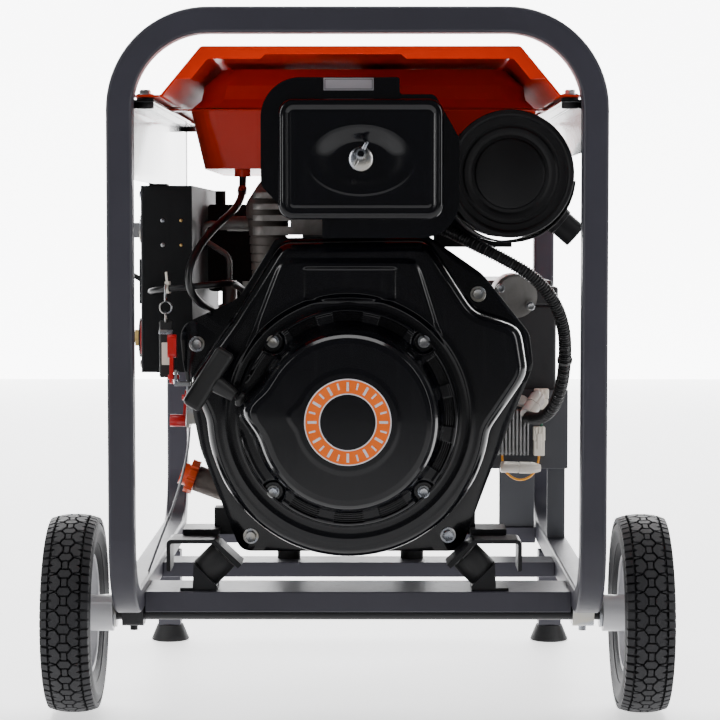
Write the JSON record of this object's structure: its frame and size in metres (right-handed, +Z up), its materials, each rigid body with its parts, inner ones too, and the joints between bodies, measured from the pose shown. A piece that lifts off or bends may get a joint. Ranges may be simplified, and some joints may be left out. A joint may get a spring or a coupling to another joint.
{
  "type": "engine driven welder",
  "caption": "Open-frame diesel welder generator on two wheels and two feet, with recoil starter, covered orange fuel tank, battery and side control panel.",
  "frame": {"origin": "on the floor, under the middle of the machine's bounding box", "axes": "+X to the right seen from the recoil starter, +Y from the starter to the rear, +Z up"},
  "size_m": [0.6392, 0.7004, 0.7183],
  "materials": {
    "frame_paint": "satin powder coat, slate grey",
    "black_sheet": "gloss black paint",
    "orange_paint": "gloss orange red paint",
    "rubber": "matt black",
    "tyre": "moulded tread",
    "rim_paint": "silver paint",
    "zinc": "zinc plated",
    "bare_steel": "machined steel",
    "cast_alloy": "sand cast alloy",
    "cast_iron": "machined cast iron",
    "lamination": "varnished laminations and windings",
    "black_plastic": "moulded",
    "red_plastic": "moulded",
    "orange_plastic": "moulded",
    "filter_paper": "pleated paper",
    "panel_paint": "fine texture"
  },
  "bodies": {
    "frame": {"front_hoop": "frame_paint", "rear_hoop": "frame_paint", "cross_members": "frame_paint", "side_plates": "black_sheet", "support_legs": "frame_paint", "rubber_feet": "rubber", "axle": "frame_paint", "mount_brackets": "black_sheet", "rubber_mounts": "rubber", "crankcase": "cast_alloy", "cylinder": "cast_iron", "cylinder_head": "cast_alloy", "bearings": "bare_steel", "blower_housing": "black_sheet", "fan_back_plate": "black_sheet", "bolts": "zinc", "recoil_cover": "black_sheet", "filter_base": "black_sheet", "filter_element": "filter_paper", "filter_cover": "black_sheet", "muffler": "black_sheet", "exhaust_fittings": "black_sheet", "tank_cover": "orange_paint", "tank_lower": "orange_paint", "tank_upper": "orange_paint", "injection_gear": "zinc", "control_brackets": "zinc", "oil_neck": "cast_alloy", "starter_motor": "cast_alloy", "alternator_ends": "cast_alloy", "alternator_shell": "cast_alloy", "stator": "lamination", "control_box": "black_sheet", "control_panel": "panel_paint", "panel_fittings": "black_plastic", "weld_terminals": "zinc", "battery_tray": "frame_paint", "battery": "black_plastic", "voltage_regulator": "cast_alloy", "loom": "rubber", "hoses": "rubber"},
    "left_wheel": {"left_tyre": "tyre", "left_rim": "rim_paint"},
    "right_wheel": {"right_tyre": "tyre", "right_rim": "rim_paint"},
    "crank": {"crankshaft": "bare_steel", "flywheel_fan": "cast_alloy", "rotor": "lamination"},
    "piston_body": {"piston": "cast_alloy"},
    "starter_pulley": {"recoil_pulley": "black_plastic"},
    "starter_handle": {"recoil_handle": "black_plastic"},
    "filter_nut": {"wing_nut": "zinc"},
    "tank_cap": {"fuel_cap": "black_plastic"},
    "oil_plug": {"oil_cap": "orange_plastic"},
    "speed_arm": {"speed_lever": "red_plastic"},
    "stop_arm": {"stop_lever": "red_plastic"},
    "current_dial": {"current_knob": "black_plastic"},
    "start_key": {"ignition_key": "bare_steel"},
    "breaker_switch": {"breaker_toggle": "black_plastic"},
    "hanging_tag": {"key_tag": "black_plastic"}
  },
  "joints": [
    {"name": "left_wheel_spin", "type": "hinge", "parent": "frame", "child": "left_wheel", "pos_m": [-0.294, -0.2275, 0.1027], "axis": [1, 0, 0], "continuous": true},
    {"name": "right_wheel_spin", "type": "hinge", "parent": "frame", "child": "right_wheel", "pos_m": [0.294, -0.2275, 0.1027], "axis": [1, 0, 0], "continuous": true},
    {"name": "crank_spin", "type": "hinge", "parent": "frame", "child": "crank", "pos_m": [-0.0097, 0, 0.309], "axis": [0, 1, 0], "continuous": true},
    {"name": "piston_slide", "type": "slide", "parent": "frame", "child": "piston_body", "axis": [0, 0, 1], "range_m": [-0.07, 0]},
    {"name": "rope_pull", "type": "slide", "parent": "frame", "child": "starter_handle", "axis": [-0.8387, 0, 0.5446], "range_m": [0, 0.09], "stiffness_N_per_m": 40, "springref_m": -0.05},
    {"name": "pulley_turn", "type": "hinge", "parent": "frame", "child": "starter_pulley", "pos_m": [-0.0097, -0.2875, 0.309], "axis": [0, 1, 0], "range_deg": [0, 124]},
    {"name": "wing_nut_turn", "type": "hinge", "parent": "frame", "child": "filter_nut", "pos_m": [0.0033, -0.3165, 0.5758], "axis": [0, 1, 0], "continuous": true},
    {"name": "fuel_cap_turn", "type": "hinge", "parent": "frame", "child": "tank_cap", "pos_m": [0.03, 0.1325, 0.69], "axis": [0, 0, 1], "range_deg": [0, 90]},
    {"name": "oil_cap_turn", "type": "hinge", "parent": "frame", "child": "oil_plug", "pos_m": [-0.182, -0.1375, 0.2365], "axis": [-0.9404, 0, 0.3401], "continuous": true},
    {"name": "speed_lever_swing", "type": "hinge", "parent": "frame", "child": "speed_arm", "pos_m": [-0.1845, -0.1555, 0.322], "axis": [1, 0, 0], "range_deg": [-20, 25]},
    {"name": "stop_lever_swing", "type": "hinge", "parent": "frame", "child": "stop_arm", "pos_m": [-0.19, -0.2365, 0.349], "axis": [1, 0, 0], "range_deg": [0, 30], "stiffness_Nm_per_rad": 0.03, "springref_deg": -22.92},
    {"name": "current_knob_turn", "type": "hinge", "parent": "frame", "child": "current_dial", "pos_m": [-0.235, -0.0075, 0.5], "axis": [-1, 0, 0], "range_deg": [-135, 135]},
    {"name": "key_turn", "type": "hinge", "parent": "frame", "child": "start_key", "pos_m": [-0.23, -0.1325, 0.5], "axis": [-1, 0, 0], "range_deg": [0, 80]},
    {"name": "breaker_flip", "type": "hinge", "parent": "frame", "child": "breaker_switch", "pos_m": [-0.233, -0.1075, 0.445], "axis": [0, 1, 0], "range_deg": [-60, 0]},
    {"name": "tag_swing", "type": "hinge", "parent": "frame", "child": "hanging_tag", "pos_m": [-0.2, -0.2122, 0.4349], "axis": [1, 0, 0], "range_deg": [-8, 15]}
  ],
  "couplings": [
    {"joint": "pulley_turn", "follows": "rope_pull", "rad_per_m": 23.923}
  ]
}
